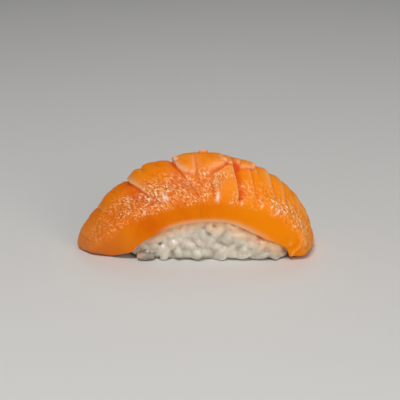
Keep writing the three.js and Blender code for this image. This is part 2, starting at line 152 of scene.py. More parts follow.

# Flakes between the cuts: outline as (mm along from the middle, mm across), the place where
# each one joins the slice, its free end, its height there, and mm over which its edge is painted with
# glow.
PETALS = (
    {  # the largest, which lies over the crest
        "outline": (
            (-0.7, 3.5), (6.8, 3.0), (7.6, 0.0), (8.7, -3.6), (8.5, -5.0),
            (6.2, -6.6), (3.9, -7.9), (2.4, -9.1), (0.6, -9.6), (-0.8, -8.0),
        ),
        "joined": (0.5, 3.0), "free": (8.5, -4.5), "lift": 0.8, "rim": LIP_WIDTH,
    },
    {  # the next two towards the blunt end
        "outline": ((5.0, 4.5), (6.5, -4.4), (9.2, -5.0), (12.6, -4.1), (13.0, -2.0), (12.8, 4.5)),
        "joined": (4.0, 1.0), "free": (12.0, -2.0), "lift": 0.45, "rim": LIP_WIDTH,
    },
    {
        "outline": (
            (9.9, 4.0), (10.8, 0.0), (12.5, -3.4), (14.2, -3.9),
            (16.0, -3.2), (17.3, -2.2), (17.7, -0.6), (17.5, 4.5),
        ),
        "joined": (8.0, 1.0), "free": (17.7, -1.4), "lift": 0.5, "rim": LIP_WIDTH,
    },
    {  # the largest one's neighbour towards the tail
        "outline": (
            (-7.2, -1.6), (-1.2, -1.6), (-1.1, -6.9), (-1.9, -8.2), (-4.6, -6.9), (-7.4, -4.3),
        ),
        "joined": (-4.0, 0.0), "free": (-2.0, -7.5), "lift": 0.4, "rim": LIP_WIDTH,
    },
    {  # the one that hangs down the front beside the widest cut
        "outline": (
            (9.4, -5.5), (11.3, -5.2), (15.6, -14.0), (6.3, -14.0),
            (5.6, -12.2), (5.0, -10.5), (4.9, -8.8),
        ),
        "joined": (13.0, -9.0), "free": (5.0, -11.0), "lift": 0.6, "rim": LIP_WIDTH,
    },
    {  # the hollow beside it
        "outline": (
            (-1.2, -9.3), (1.0, -10.1), (4.4, -9.4), (4.7, -10.5),
            (5.3, -12.2), (5.8, -14.0), (-0.4, -14.0), (-0.8, -11.8),
        ),
        "lift": -0.7,
    },
    {  # the thin tuft at the very top
        "outline": (
            (0.3, 0.7), (0.8, -0.1), (1.5, 0.2), (2.1, -0.1), (2.4, 0.8),
            (2.6, 3.6), (2.3, 6.6), (1.4, 8.2), (0.6, 5.0),
        ),
        "joined": (1.5, 7.6), "free": (1.5, 0.6), "lift": 1.0, "rim": LIP_THIN,
    },
    {  # the thin corner that stands up towards the tail
        "outline": ((-8.2, -2.0), (-6.9, -1.8), (-6.4, 0.4), (-7.2, 2.0), (-8.3, 1.6)),
        "joined": (-6.0, 1.0), "free": (-8.0, 0.0), "lift": 0.45, "rim": LIP_THIN,
    },
)
PETAL_EDGE = 0.75  # half width of the step at a petal's edge
PETAL_GROOVE = 0.2  # share of the petal's height that the cut round it goes deeper
PETAL_GROOVE_PLACE = 0.35  # mm outside the petal
PETAL_GROOVE_WIDTH = 0.4
PETAL_GROOVE_SHADE = 0.55  # share of a cut's painted shade that this one has
PETAL_TIP = 1.1  # mm over which a petal's free end is painted lighter
HOLLOW_SHADE = 0.35  # share of a cut's painted shade in a hollow

# How strongly the flesh is painted in shade where a flake dives under the next one, and painted
# lighter towards its free edge and at a petal's free end.
DIVE_SHADE_SHARE = 1.0
FREE_EDGE_LIGHT_SHARE = 0.6
TIP_LIGHT_SHARE = 0.45

# Loose fibres in the top: height in mm, how many times shorter they are along than across,
# size in mm, seed.
FIBRES = ((0.11, 1.6, 1.7, 3), (0.2, 1.0, 4.5, 4))
FIBRE_RUN = (1, 0.6)  # shares of the thickness over which they set in, from below
# Streaks down the cut sides: height in mm, mm that the whole depth counts for, size, seed.
STREAKS = ((0.03, 3, 1.3, 5), (0.12, 2, 4.4, 6))
STREAK_TOP_RUN = (0.02, 0.14)  # shares of the thickness
STREAK_FOOT_RUN = (1.0, 0.85)

# The knife tore the flesh most on the steep of the slopes: shares of the half width.
TORN_ACROSS = 0.80
TORN_WIDTH = 0.24
TORN_RUN = (0.26, 0.08)  # shares of the thickness over which that sets in, from below
TORN_SIZE = 8.0  # of the patches
TORN_PATCH = (-0.7, -0.2)  # values of the noise from which it is whole, and torn
TORN_SEED = 9
CUT_UNTORN = 0.8  # share of that which is missing in the cuts
# Where along the slice it tore: mm from the middle, share.
TORN_ALONG = (
    (-46, 0.3), (-38, 0.6), (-30, 1), (13, 1), (16, 0.35),
    (21, 0.35), (27, 0.85), (36, 0.85), (45, 0.5),
)
CRAG_HEIGHT = 0.18  # of the torn flesh
CRAG_SIZE = 1.1
CRAG_SQUEEZE = 1.6  # how many times shorter the crags are across than along
CRAG_SEED = 12
HEM = 0.70  # below this share of the thickness the flesh is painted paler towards the rice, a painted glow of light that comes up from it
HEM_TAIL = (0.17, 0.27)  # shares of the length over which that sets in, and fades again
HEM_HEAD = (0.82, 0.64)

# Beads of moisture, each raised a little and painted with a highlight: mm along from the middle, mm
# below the crest, half width and half height.
BEADS = (
    (7.2, 9.3, 0.5, 0.9),
    (-13.4, 7.6, 0.3, 0.8),
    (-12.4, 8.1, 0.25, 0.6),
    (16.7, 8.8, 0.2, 0.5),
    (24.1, 6.6, 0.2, 0.6),
    (30.1, 4.9, 0.3, 0.9),
    (27.3, 5.3, 0.2, 0.4),
)
BEAD_HEIGHT = 0.2

# The layers of the flesh come apart in ridges that run down the blunt end.
FINGERS = (0.76, 0.90)  # shares of the length over which they set in
FINGER_HEIGHT = 0.6
FINGER_SIZE = 1.5
FINGER_STRETCH = 5  # how many times longer they are than wide
FINGER_TOP = 0.6  # share of their height that they have over the top
FINGER_SEED = 8
RIDGE_HIGHLIGHT_GAIN = 2  # how fast a painted highlight comes up on a rising ridge
RIDGE_HIGHLIGHT_RUN = (0.9, 0.7)  # shares of the thickness over which that sets in, from below
EDGE_FACE_RUN = (0.0, 0.2)  # shares of the thickness from the top to the cut face

# The skin's mesh: mm from ring to ring, and steps round each one.
RING_STEP = 0.29
TOP_STEPS = 160
FRONT_SHARE = 0.25  # how much closer together the steps are on the front slope
UNDER_STEPS = 20
CORNER_STEPS = 7
SIDE_STEPS = 12
# The section starts amid the underside, so the seam of its measure lies against the rice.
SEAM = TOP_STEPS + 1 + 2 * (CORNER_STEPS - 1) + SIDE_STEPS + UNDER_STEPS // 2

# ---------------------------------------------------------------- the rice: sizes

RICE_X = 4.4  # its middle
RICE_HALF_LENGTH = 26.6
RICE_HALF_WIDTH = 11.9  # of the bare core
RICE_LEAST_HEIGHT = 0.6  # where the slice comes down at its ends
RICE_TUCK = 1.0  # how much narrower the core is at the table, each side
RICE_TUCK_HEIGHT = 5.0
TAIL_PLAN = 3  # exponents of the core's outline from above: 2 is an ellipse
HEAD_PLAN = 4
RICE_SECTION = 12  # exponent of its section
CORE_STATIONS = 90
CORE_AROUND = 60
CORE_TRIM = 0.015  # share of the outline's half turn that is cut off at each end
GAP = 0.2  # between the slice and the bare core
HALVINGS = 26  # of the slice's length, to find the place on it above a point of the table

GRAIN_LENGTH = 6.2
GRAIN_WIDTH = 3.2
GRAIN_DEPTH = 2.8
GRAIN_PLUMPNESS = 2.5  # exponent of a grain's outline: 2 is an ellipse
GRAIN_BEND = (0.1, 0.35)  # mm that a grain bends, at random
GRAIN_BELLY = (-0.18, 0.18)  # share by which one end is plumper
BEND_SHARE = 0.4  # share of the bend by which the middle gives way
GRAIN_DENTS = 0.12  # height of the dents that cooking leaves
GRAIN_DENT_SIZE = 1.5
GRAIN_DENT_SEED = 20
GRAIN_SIDES = 10  # with its steps along, 60 faces
GRAIN_STEPS = 6
GRAIN_KINDS = 7

GRAIN_SPACING = 2.4  # least distance between the middles of two grains
GRAIN_DENSITY = 2.0e6  # grains for each square metre, far more than that spacing lets through
GRAIN_BURY = (-0.1, 0.8)  # a grain's middle lies this far inside the core's surface, at random
CORE_INSET = 0.6  # the solid middle lies this far inside the outline that carries the grains
GRAIN_LEAST_HEIGHT = 1.6  # a grain's middle lies at least this high, so ends show at the table
GRAIN_SPIN = 1.57  # radians that a grain turns from lying level, either way
GRAIN_TIP = 0.25  # radians of random tipping
GRAIN_CHANGE = 0.12  # random share of the size
GRAIN_TONE = (0.7, 1.0)  # from greyish to white
GRAIN_SEED = 7
DEPTH_SEED, SPIN_SEED, TIP_X_SEED, TIP_Y_SEED, SIZE_SEED, TONE_SEED = range(11, 17)
HEAD_SHADE = 0.58  # share of their tone that the grains under the blunt end keep: painted shade of the slice above
HEAD_SHADE_RUN = (13, 25)  # mm along over which that sets in
# Grains that stick out by the table: place of the middle, radians from level, tone. The first one's tone
# of 0 is painted shade.
LOOSE_GRAINS = (
    ((-15.0, -11.0, 1.5), 0.08, 0.0),
    ((-9.0, -10.7, 2.2), 1.2, 0.9),
    ((-0.4, -10.6, 1.9), -0.6, 0.8),
    ((9.0, -10.8, 2.0), 1.0, 0.9),
    ((15.4, -11.0, 2.0), 0.35, 1.0),
    ((20.0, -11.3, 4.6), 1.0, 0.9),
    ((23.6, -10.6, 2.2), -0.9, 0.7),
)
LOOSE_BEND = 0.2
LOOSE_SEED = 9

STICK_SIZE = 0.28  # dips narrower than this are filled with starch
SOFTEN_SHARE = 0.5  # how far each point of that skin moves to the middle of its neighbours
SOFTEN_ROUNDS = 5
PRESS_SOFTNESS = 0.35  # mm over which a grain gives way
TABLE_PRESS = 0.02  # mm that a grain would sink into the table, and is cut off level
SLICE_ROOM = 0.03  # mm between the rice and the slice
BOUNCE_LIGHT_RUN = (5.5, 0.5)  # mm below the slice over which the rice is painted with light that bounces off the salmon

# ---------------------------------------------------------------- helpers

NOISE_STEP = 7.31  # how far apart in the noise two seeds lie


def mix(a, b, share):
    """a with that share of the way to b."""
    return a + (b - a) * share


def smooth(a, b, x):
    """0 up to a and 1 from b, with an even run between them."""
    share = np.clip((x - a) / (b - a), 0, 1)
    return share * share * (3 - 2 * share)


def bell(distance, width):
    """1 at no distance, dying away over that width."""
    return np.exp(-((distance / width) ** 2))


def lumps(x, y, z, size, seed):
    """Smooth noise from -1 to 1 at many points, with lumps of that size in mm."""
    points = np.stack(np.broadcast_arrays(x, y, z), -1).reshape(-1, 3) / size + seed * NOISE_STEP
    values = [noise.noise(point) for point in points.tolist()]
    return np.array(values).reshape(np.broadcast(x, y, z).shape)


def skin_faces(rings, around):
    """Quads over rings of points; each end closes with a fan over one last point."""
    ring = np.arange(rings - 1)[:, None] * around
    here = np.arange(around)
    then = (here + 1) % around
    quads = np.stack([ring + here, ring + then, ring + then + around, ring + here + around], -1)
    first = np.full(around, rings * around)
    last = (rings - 1) * around
    start = np.stack([first, then, here], -1)
    end = np.stack([first + 1, last + here, last + then], -1)
    return quads.reshape(-1, 4).tolist() + start.tolist() + end.tolist()


def skin_object(name, points, material, **attributes):
    """A closed skin through points[ring, place], in mm, with its ends closed."""
    rings, around = points.shape[:2]
    caps = np.stack([points[0].mean(0), points[-1].mean(0)])
    everything = np.concatenate([points.reshape(-1, 3), caps])
    mesh = bpy.data.meshes.new(name)
    mesh.from_pydata((everything * MM).tolist(), [], skin_faces(rings, around))
    for key, values in attributes.items():
        ends = [values[:1].mean(1), values[-1:].mean(1)]
        values = np.concatenate([values.reshape(-1, *values.shape[2:]), *ends])
        kind, field = ("FLOAT_VECTOR", "vector") if values.ndim == 2 else ("FLOAT", "value")
        stored = mesh.attributes.new(key, kind, "POINT").data
        stored.foreach_set(field, values.astype(np.float32).ravel())
    mesh.shade_smooth()
    mesh.materials.append(material)
    piece = bpy.data.objects.new(name, mesh)
    bpy.context.scene.collection.objects.link(piece)
    return piece


# ---------------------------------------------------------------- the slice: shape


def crest_samples(count=6001):
    """Points of the smooth crest: mm along it from the tail, x and z."""
    turn = np.linspace(0, math.pi, count)
    across = -np.cos(turn)
    reach = np.where(across < 0, TAIL_REACH, HEAD_REACH)
    power = 2 / np.where(across < 0, TAIL_ROUNDNESS, HEAD_ROUNDNESS)
    x = CREST_X + reach * np.sign(across) * np.abs(across) ** power
    z = CREST_HEIGHT * np.abs(np.sin(turn)) ** power
    run = np.concatenate([[0], np.cumsum(np.hypot(np.diff(x), np.diff(z)))])
    return run, x, z


CREST_RUN, CREST_XS, CREST_ZS = crest_samples()
LENGTH = CREST_RUN[-1]


def half_width(s):
    """Half the slice's width, s mm from the tail."""
    end = np.abs(2 * s / LENGTH - 1)
    tail = mix(TAIL_HALF_WIDTH, HALF_WIDTH, (1 - end ** TAIL_TAPER[0]) ** (1 / TAIL_TAPER[1]))
    head = mix(HEAD_HALF_WIDTH, HALF_WIDTH, (1 - end ** HEAD_TAPER[0]) ** (1 / HEAD_TAPER[1]))
    return np.where(s < LENGTH / 2, tail, head)


def sag(s):
    """How far the long edges hang below the crest there."""
    tail = mix(TAIL_SAG, SAG, smooth(0, 0.5, s / LENGTH))
    head = mix(HEAD_SAG, SAG, smooth(0, 0.5, 1 - s / LENGTH))
    return np.where(s < LENGTH / 2, tail, head)


def thickness(s):
    """The slice's thickness there."""
    is_tail = s < LENGTH / 2
    side = np.where(is_tail, TAIL_THICKNESS, HEAD_THICKNESS)
    body = mix(THICKNESS, side, smooth(*BODY_RUN, np.abs(s / LENGTH - 0.5)))
    tip = np.where(is_tail, TAIL_TIP, HEAD_TIP)
    heel = HEEL * bell(s / LENGTH - HEEL_PLACE, HEEL_WIDTH)
    return mix(tip, body, smooth(*TIP_RUN, np.minimum(s, LENGTH - s) / LENGTH)) + heel


def slice_point(s, across, depth, relief=0.0):
    """s mm from the tail, across -1 (front) to 1 (back), depth 0 (top) to 1 (underside)."""
    s = np.clip(s, 0, LENGTH)
    step = 0.01
    before = np.clip(s - step, 0, LENGTH)
    after = np.clip(s + step, 0, LENGTH)
    tx = np.interp(after, CREST_RUN, CREST_XS) - np.interp(before, CREST_RUN, CREST_XS)
    tz = np.interp(after, CREST_RUN, CREST_ZS) - np.interp(before, CREST_RUN, CREST_ZS)
    size = np.hypot(tx, tz)
    crest_z = np.interp(s, CREST_RUN, CREST_ZS)
    down = sag(s) * np.abs(across) ** SAG_POWER + depth * thickness(s) - relief
    share = 1 - tx / size * down / np.maximum(crest_z, 1e-6)
    gentle = TABLE_SHARE * np.exp(np.minimum(share / TABLE_SHARE - 1, 0))
    y = half_width(s) * across
    shear = HEAD_SHEAR * smooth(*HEAD_SHEAR_RUN, s / LENGTH) * y
    x = np.interp(s, CREST_RUN, CREST_XS) + tz / size * down + shear
    z = crest_z * np.where(share > TABLE_SHARE, share, gentle)
    return np.stack(np.broadcast_arrays(x, y, z), -1)


def section_loop():
    """The section as (across, depth), from amid the underside round the back and over the top."""
    flat = 1 - SIDE_ROUNDING
    even = 1 - 2 * np.arange(TOP_STEPS + 1) / TOP_STEPS
    top = flat * (even - FRONT_SHARE * (1 - even**2))  # closer together on the front slope
    turn = np.arange(1, CORNER_STEPS) / CORNER_STEPS * math.pi / 2
    rise, fall = np.sin(turn), np.cos(turn)
    side = np.linspace(TOP_ROUNDING, 1 - BOTTOM_ROUNDING, SIDE_STEPS)
    under = flat * (2 * np.arange(UNDER_STEPS + 1) / UNDER_STEPS - 1)
    parts = [
        (top, 0 * top),
        (-flat - SIDE_ROUNDING * rise, TOP_ROUNDING * (1 - fall)),
        (-1 + 0 * side, side),
        (-flat - SIDE_ROUNDING * fall, 1 - BOTTOM_ROUNDING * (1 - rise)),
        (under, 1 + 0 * under),
        (flat + SIDE_ROUNDING * rise, 1 - BOTTOM_ROUNDING * (1 - fall)),
        (1 + 0 * side, side[::-1]),
        (flat + SIDE_ROUNDING * fall, TOP_ROUNDING * (1 - rise)),
    ]
    return np.roll(np.concatenate([np.stack(part, -1) for part in parts]), -SEAM, axis=0)


def slant(across):
    """How far a cut has run along the slice where it is at this place across it."""
    forwards = CUT_START - across
    return CUT_SLANT * np.sign(forwards) * np.abs(forwards) ** CUT_BEND


def cut_floor(distance, width):
    """1 on the floor of a cut, 0 beyond it."""
    return smooth(width + FLOOR_EDGE[0], width + FLOOR_EDGE[1], distance)


def flakes(along, across):
    """What the slanted cuts do: height, lean along the slice, painted glow at the lip, painted shade in
    the cut, and painted light and shade over the flake.
    """
    crest = smooth(*CREST_ACROSS, across)
    tail_end, head_end = [-LENGTH / 2, 0, 0, 0, 0, 0], [LENGTH / 2, 0, 0, 0, 0, 0]
    table = np.vstack([tail_end, CUTS, head_end])
    places, on_the_slope, on_the_crest, opens, widths, lifts = table.T
    cut = np.clip(np.searchsorted(places, along, side="right") - 1, 0, len(CUTS))
    past = along - places[cut]
    ahead = places[cut + 1] - along
    share = past / (past + ahead)
    left = mix(on_the_slope[cut], on_the_crest[cut], crest)
    right = mix(on_the_slope[cut + 1], on_the_crest[cut + 1], crest)
    opens_left, opens_right = opens[cut], opens[cut + 1]
    narrowing = mix(FLOOR_NARROW, 1, smooth(*FLOOR_NARROW_RUN, across))
    width_left, width_right = widths[cut] * narrowing, widths[cut + 1] * narrowing
    floor_left = np.minimum(left, 1) * (opens_left < 0) * cut_floor(past, width_left)
    floor_right = np.minimum(right, 1) * (opens_right > 0) * cut_floor(ahead, width_right)
    lip_left = np.minimum(left, 1) * (opens_left > 0)
    lip_right = np.minimum(right, 1) * (opens_right < 0)

    left_height = opens_left * left / 2 * (1 - share)
    right_height = -opens_right * right / 2 * share
    height = np.maximum(left_height, 0) * (1 - LIP_DROP[0] * bell(past, LIP_ROUNDING[0]))
    height += np.maximum(right_height, 0) * (1 - LIP_DROP[1] * bell(ahead, LIP_ROUNDING[1]))
    height += np.minimum(left_height, 0) + np.minimum(right_height, 0)
    height += lifts[cut] * 4 * share * (1 - share) - FLOOR_DEPTH * (floor_left + floor_right)
    for place, deep, width in CREASES:
        height -= deep * bell(along - place, width) * mix(CREASE_FRONT, 1, crest)

    lean = lip_right * np.exp(-ahead / LEAN_WIDTH) - lip_left * np.exp(-past / LEAN_WIDTH)
    lip_glow = lip_left * np.exp(-past / LIP_WIDTH) + lip_right * np.exp(-ahead / LIP_WIDTH)
    fading = smooth(width_left + CUT_SHADE_FADE[1], CUT_SHADE_FADE[0], past)
    gain = np.minimum(CUT_SHADE_GAIN * left, 1) / np.maximum(np.minimum(left, 1), CUT_SHADE_LEAST_STEP)
    cut_shade = floor_left * fading * gain + CUT_SHADE_FACING_TAIL * floor_right
    flake_light_and_shade = opens_left * np.minimum(left, 1) * (1 - share) ** LIGHT_AND_SHADE_POWER
    flake_light_and_shade -= opens_right * np.minimum(right, 1) * share**LIGHT_AND_SHADE_POWER
    return height, LIP_REACH * lean, lip_glow, cut_shade, flake_light_and_shade


def outline_distance(corners, x, y):
    """Distance to a closed outline, negative inside it."""
    corners = np.array(corners)
    nearest = np.full(np.broadcast(x, y).shape, np.inf)
    inside = np.zeros(nearest.shape, bool)
    for (ax, ay), (bx, by) in zip(corners, np.roll(corners, -1, axis=0)):
        dx, dy = bx - ax, by - ay
        share = np.clip(((x - ax) * dx + (y - ay) * dy) / (dx * dx + dy * dy), 0, 1)
        nearest = np.minimum(nearest, np.hypot(x - ax - share * dx, y - ay - share * dy))
        crosses = (ay > y) != (by > y)
        inside ^= crosses & (x < ax + (y - ay) / np.where(dy == 0, 1e-9, dy) * dx)
    return np.where(inside, -nearest, nearest)


def petals(along, y):
    """What the petals between the cuts do: height, painted glow at the lip, painted shade in the cut
    round them, painted light at the free end.
    """
    height = 0
    lip_glow = 0
    cut_shade = 0
    tip = 0
    for petal in PETALS:
        lift = petal["lift"]
        distance = outline_distance(petal["outline"], along, y)
        inside = smooth(PETAL_EDGE, -PETAL_EDGE, distance)
        if lift < 0:
            height += lift * inside
            cut_shade += HOLLOW_SHADE * inside
            continue
        start_x, start_y = petal["joined"]
        run = np.subtract(petal["free"], petal["joined"])
        ramp = smooth(0, 1, ((along - start_x) * run[0] + (y - start_y) * run[1]) / (run @ run))
        around = ramp * bell(distance - PETAL_GROOVE_PLACE, PETAL_GROOVE_WIDTH)
        from_edge = np.minimum(distance, 0)
        height += lift * ramp * inside - lift * PETAL_GROOVE * around
        lip_glow += ramp * inside * np.exp(from_edge / petal["rim"])
        tip += ramp**3 * inside * np.exp(from_edge / PETAL_TIP)
        cut_shade += around
    return height, lip_glow, cut_shade, tip


def torn_flesh(s, y, across, depth):
    """How torn the flesh is, from 0 to 1, where no cut is."""
    steep = bell(np.abs(across) - TORN_ACROSS, TORN_WIDTH) * smooth(*TORN_RUN, depth)
    patches = smooth(*TORN_PATCH, lumps(s, y, 0, TORN_SIZE, TORN_SEED))
    return steep * (patches * np.interp(s - LENGTH / 2, *zip(*TORN_ALONG)))


def beads(s, across, depth):
    """How near the middle of a bead of moisture a point is, from 0 to 1, for its rise and its painted
    highlight.
    """
    drop = sag(s) * np.abs(across) ** SAG_POWER + depth * thickness(s)
    bead_and_highlight = 0
    for along, below, wide, high in BEADS:
        bead_and_highlight += bell(np.hypot((s - LENGTH / 2 - along) / wide, (drop - below) / high), 1)
    return bead_and_highlight * (across < 0) * (depth < 0.5)


def closed_end(points, place):
    """The rings near each end drawn in towards a smaller flat face."""
    middle = slice_point(place, np.zeros_like(place), 0.5)
    end = np.minimum(np.minimum(place, LENGTH - place) / END_ROUNDING, 1)
    shrink = mix(END_FACE, 1, np.sqrt(1 - (1 - end) ** 2))[..., None]
    return middle + (points - middle) * shrink


def girth_measure(points):
    """mm round the section from the back edge of its top, negative down the back."""
    steps = np.linalg.norm(np.diff(points, axis=1, prepend=points[:, :1]), axis=-1)
    measure = np.cumsum(steps, axis=1)
    return measure - measure[:, -SEAM, None]


def slice_skin():
    """Points of the slice's skin as [ring, place round it], and what its material reads."""
    loop = section_loop()
    place = np.linspace(0, LENGTH, int(LENGTH / RING_STEP))[:, None]
    across, depth = loop[None, :, 0], loop[None, :, 1]
    middle = place - LENGTH / 2
    run_in = smooth(0, CUT_RUN_IN[0], place) * smooth(0, CUT_RUN_IN[1], LENGTH - place)
    wander = sum(far * lumps(place, HALF_WIDTH * across, 0, size, seed) for far, size, seed in WANDER)
    straighter = 1 - STRAIGHTENING * bell(middle - STRAIGHTEST, STRAIGHT_RUN)
    s = place + run_in * (slant(across) * straighter - wander)
    y = half_width(np.clip(s, 0, LENGTH)) * across

    top = smooth(*TOP_RUN, depth)
    edges = np.where(across > 0, BACK_SHOULDER, FRONT_SHOULDER)
    shoulder = smooth(1, edges, np.abs(across)) * top
    height, lean, lip_glow, cut_shade, flake_light_and_shade = flakes(middle + 0 * across, across)
    petal_height, petal_lip_glow, petal_cut_shade, petal_tip_light = petals(s - LENGTH / 2 + wander, y - wander)
    fibres = sum(high * lumps(place * squeeze, y, 0, size, seed) for high, squeeze, size, seed in FIBRES)
    streaks = sum(high * lumps(place, 0, depth * deep, size, seed) for high, deep, size, seed in STREAKS)
    girth = y + np.sign(across) * depth * thickness(s)
    fingers = lumps(place / FINGER_STRETCH, girth, 0, FINGER_SIZE, FINGER_SEED)
    fingers = fingers * smooth(*FINGERS, place / LENGTH)
    torn = torn_flesh(s, y, across, depth) * (1 - CUT_UNTORN * np.clip(cut_shade + petal_cut_shade, 0, 1))
    crags = torn * lumps(place, y * CRAG_SQUEEZE, 0, CRAG_SIZE, CRAG_SEED)
    bead_and_highlight = beads(s, across, depth)
    relief = shoulder * (height + petal_height) + fibres * smooth(*FIBRE_RUN, depth)
    relief += FINGER_TOP * FINGER_HEIGHT * fingers * top
    relief += CRAG_HEIGHT * crags + BEAD_HEIGHT * bead_and_highlight

    points = slice_point(s + lean * shoulder, across, depth, relief)
    side = smooth(*STREAK_TOP_RUN, depth) * smooth(*STREAK_FOOT_RUN, depth)
    points[..., 1] += np.sign(across) * side * (streaks + FINGER_HEIGHT * fingers)
    points = closed_end(points, place)
    points[..., 2] = np.maximum(points[..., 2], 0)

    # Painted light and shade for the material: a glow at the lips, light and shade over each flake,
    # shade in the cuts, highlights on the beads and ridges, and a glow at the hem.
    low_lip_glow = mix(LIP_FRONT, 1, smooth(*LIP_FRONT_RUN, across))
    painted_light_and_shade = np.where(flake_light_and_shade < 0, DIVE_SHADE_SHARE, FREE_EDGE_LIGHT_SHARE) * flake_light_and_shade + TIP_LIGHT_SHARE * petal_tip_light
    hem_glow_run = smooth(*HEM_TAIL, place / LENGTH) * smooth(*HEM_HEAD, place / LENGTH)
    values = {
        "lip_glow": np.clip(shoulder * (lip_glow + petal_lip_glow), 0, 1) * low_lip_glow,
        "groove_shade": np.clip(shoulder * (cut_shade + PETAL_GROOVE_SHADE * petal_cut_shade), 0, 1),
        "flake_light_and_shade": 0.5 + np.clip(shoulder * painted_light_and_shade, -1, 1) / 2,
        "torn": torn,
        "bead_and_highlight": np.clip(bead_and_highlight, 0, 1),
        "ridge_highlight": np.clip(RIDGE_HIGHLIGHT_GAIN * fingers, 0, 1) * smooth(*RIDGE_HIGHLIGHT_RUN, depth),
        "edge_face": smooth(*EDGE_FACE_RUN, depth),
        "hem_glow": smooth(HEM, 1.0, depth) * hem_glow_run,
        "along": place / LENGTH,
    }
    values = {key: np.broadcast_to(value, points.shape[:2]) for key, value in values.items()}
    values["sheet"] = np.stack(np.broadcast_arrays(place, girth_measure(points), 0), -1)
    return points, values


# ---------------------------------------------------------------- the rice: shape


def underside_height(x, y):
    """Height of the slice's underside over a point of the table."""
    low = np.zeros_like(x)
    high = np.full_like(x, LENGTH)
    for _ in range(HALVINGS):
        s = (low + high) / 2
        point = slice_point(s, np.clip(y / half_width(s), -1, 1), 1.0)
        low = np.where(point[..., 0] < x, s, low)
        high = np.where(point[..., 0] < x, high, s)
    return point[..., 2]


def rice_outline(turn):
    """A point of the core's outline from above."""
    power = 2 / np.where(np.cos(turn) < 0, TAIL_PLAN, HEAD_PLAN)
    x = RICE_X + RICE_HALF_LENGTH * np.sign(np.cos(turn)) * np.abs(np.cos(turn)) ** power
    y = RICE_HALF_WIDTH * np.sign(np.sin(turn)) * np.abs(np.sin(turn)) ** power
    return x, y


def core_points(inset):
    """The core's skin, this far inside the outline that carries the grains."""
    edge_x, edge_y = rice_outline(math.pi * np.linspace(1 - CORE_TRIM, CORE_TRIM, CORE_STATIONS))
    turn = np.linspace(0, math.pi, CORE_AROUND)
    x = RICE_X + (edge_x[:, None] - RICE_X) * (1 - inset / RICE_HALF_LENGTH) + 0 * turn
    y = edge_y[:, None] * (1 - inset / RICE_HALF_WIDTH) * np.cos(turn)
    dome = (1 - np.abs(np.cos(turn)) ** RICE_SECTION) ** (1 / RICE_SECTION)
    z = np.maximum(underside_height(x, y) - GAP, RICE_LEAST_HEIGHT) * dome
    y = y * (1 - RICE_TUCK / RICE_HALF_WIDTH * smooth(RICE_TUCK_HEIGHT, 0, z))
    return np.stack([x, y, z], -1)


def salmon_bounce_light(points):
    """How near the salmon is, from 0 to 1: the rice there is painted with the orange light that bounces
    off it.
    """
    room = underside_height(points[..., 0], points[..., 1]) - points[..., 2]
    return smooth(*BOUNCE_LIGHT_RUN, room)


def grain_skin(bend, belly, seed):
    """A cooked short grain: plump and a little bent."""
    turn = np.linspace(0, math.pi, GRAIN_STEPS + 1)[1:-1, None]
    round_about = np.linspace(0, 2 * math.pi, GRAIN_SIDES, endpoint=False)[None, :]
    along = -np.cos(turn)
    plump = (1 - np.abs(along) ** GRAIN_PLUMPNESS) ** 0.5 * (1 + belly * along)
    x = (along + 0 * round_about) * GRAIN_LENGTH / 2
    y = plump * np.cos(round_about) * GRAIN_WIDTH / 2 + bend * (along**2 - BEND_SHARE)
    z = plump * np.sin(round_about) * GRAIN_DEPTH / 2
    dents = GRAIN_DENTS * lumps(x, y, z, GRAIN_DENT_SIZE, GRAIN_DENT_SEED + seed)
    return np.stack([x, y, z], -1) + dents[..., None]


def grain_shapes(rng, material):
    """A few grains, no two alike."""
    shapes = bpy.data.collections.new("grain shapes")
    for index in range(GRAIN_KINDS):
        bend = rng.uniform(*GRAIN_BEND)
        belly = rng.uniform(*GRAIN_BELLY)
        grain = skin_object(f"grain_{index}", grain_skin(bend, belly, index), material)
        level = bend * (1 - BEND_SHARE)
        tips = np.array([[-1, 0, 0], [1, 0, 0]]) * GRAIN_LENGTH / 2 + [0, level, 0]
        for vertex, tip in zip(grain.data.vertices[-2:], tips * MM):
            vertex.co = tip
        bpy.context.scene.collection.objects.unlink(grain)
        shapes.objects.link(grain)
    return shapes


def loose_grain(place, lean, material):
    """A grain that lies along the front of the rice."""
    x, y, z = np.moveaxis(grain_skin(LOOSE_BEND, 0.0, LOOSE_SEED), -1, 0)
    cos, sin = math.cos(lean), math.sin(lean)
    turned = np.stack([x * cos - z * sin, y, x * sin + z * cos], -1)
    return skin_object("loose_grain", turned + place, material)


def add_node(tree, kind, inputs=None, **settings):
    """Adds a node. An input is a value, a socket, or a node whose first live output it takes."""
    node = tree.nodes.new(kind)
    for name, value in settings.items():
        setattr(node, name, value)
    for key, value in (inputs or {}).items():
        if isinstance(value, bpy.types.Node):
            value = next(output for output in value.outputs if output.enabled)
        if isinstance(value, bpy.types.NodeSocket):
            tree.links.new(value, node.inputs[key])
        else:
            node.inputs[key].default_value = value
    return node


# Sockets of a random value node, which has several of each name.
LEAST, MOST = 2, 3


